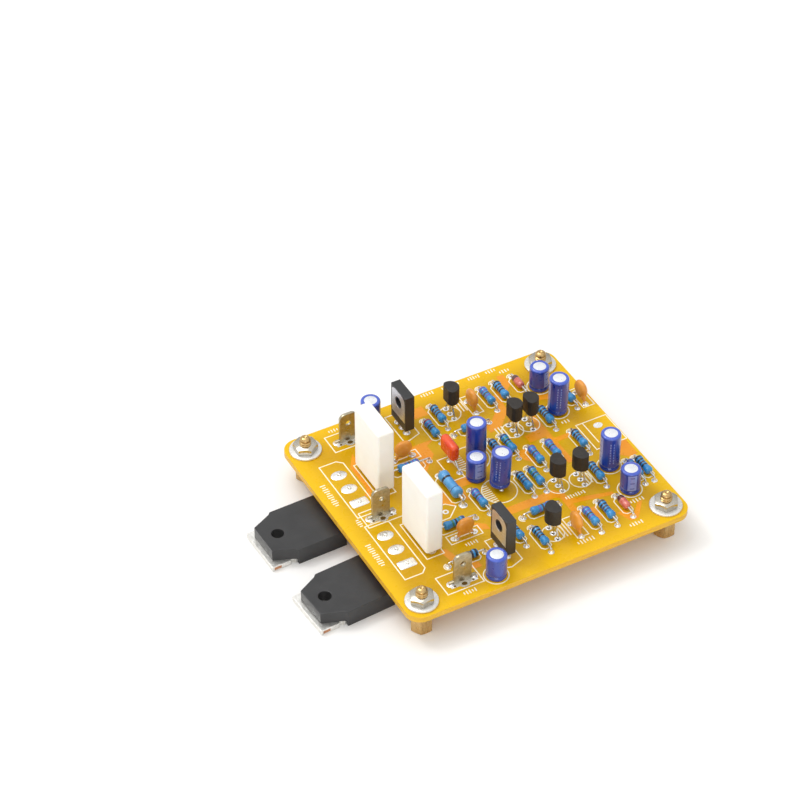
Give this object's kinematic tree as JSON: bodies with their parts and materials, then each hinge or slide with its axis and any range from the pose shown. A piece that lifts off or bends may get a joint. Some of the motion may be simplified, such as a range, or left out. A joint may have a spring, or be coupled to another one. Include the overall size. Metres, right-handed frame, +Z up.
{
  "type": "audio amplifier board",
  "caption": "Power amplifier circuit board on hexagonal standoffs, with two flat power transistors under one edge, upright ceramic resistors, blue cans and blade tabs.",
  "frame": {"origin": "centre of the four standoffs, on the surface that they stand on", "axes": "+Z up, square to the board; +X along the board's long side, away from the power transistors; +Y along its short side"},
  "size_m": [0.0961, 0.07, 0.0285],
  "materials": {
    "laminate": "golden solder mask on glass laminate",
    "brass": "turned, bright",
    "bright_steel": "bright plated",
    "tinned_metal": "tinned copper, satin",
    "black_moulding": "moulded epoxy, fine grain",
    "white_ceramic": "fired, matt",
    "tab_metal": "tinned brass, dull",
    "blue_sleeve": "shrunk sleeve, glossy",
    "orange_dip": "dipped coating",
    "red_dip": "dipped coating, glossy",
    "diode_glass": "glass over a coated core",
    "light_blue_coat": "lacquer",
    "blue_coat": "lacquer"
  },
  "bodies": {
    "root": {"ceramic_capacitor_1": "orange_dip", "ceramic_capacitor_2": "orange_dip", "ceramic_capacitor_3": "orange_dip", "ceramic_capacitor_4": "orange_dip", "ceramic_capacitor_5": "orange_dip", "circuit_board": "laminate", "electrolytic_1": "blue_sleeve", "electrolytic_2": "blue_sleeve", "electrolytic_3": "blue_sleeve", "electrolytic_4": "blue_sleeve", "electrolytic_5": "blue_sleeve", "electrolytic_6": "blue_sleeve", "electrolytic_7": "blue_sleeve", "electrolytic_8": "blue_sleeve", "electrolytic_9": "blue_sleeve", "film_capacitor": "red_dip", "front_blade_tab": "tab_metal", "front_diode": "diode_glass", "front_driver_leadframe": "tinned_metal", "front_driver_transistor": "black_moulding", "front_emitter_resistor": "white_ceramic", "front_power_leadframe": "tinned_metal", "front_power_transistor": "black_moulding", "nuts": "bright_steel", "output_blade_tab": "tab_metal", "output_resistor": "light_blue_coat", "rear_blade_tab": "tab_metal", "rear_diode": "diode_glass", "rear_driver_leadframe": "tinned_metal", "rear_driver_transistor": "black_moulding", "rear_emitter_resistor": "white_ceramic", "rear_power_leadframe": "tinned_metal", "rear_power_transistor": "black_moulding", "resistor_1": "blue_coat", "resistor_10": "blue_coat", "resistor_11": "blue_coat", "resistor_12": "blue_coat", "resistor_2": "blue_coat", "resistor_3": "blue_coat", "resistor_4": "blue_coat", "resistor_5": "blue_coat", "resistor_6": "blue_coat", "resistor_7": "blue_coat", "resistor_8": "blue_coat", "resistor_9": "blue_coat", "resistor_pair_1": "blue_coat", "resistor_pair_2": "blue_coat", "resistor_pair_3": "blue_coat", "resistor_pair_4": "blue_coat", "resistor_pair_5": "blue_coat", "resistor_pair_6": "blue_coat", "resistor_pair_7": "blue_coat", "small_transistor_1": "black_moulding", "small_transistor_2": "black_moulding", "small_transistor_3": "black_moulding", "small_transistor_4": "black_moulding", "small_transistor_5": "black_moulding", "small_transistor_6": "black_moulding", "standoffs": "brass", "washers": "bright_steel"}
  },
  "joints": []
}
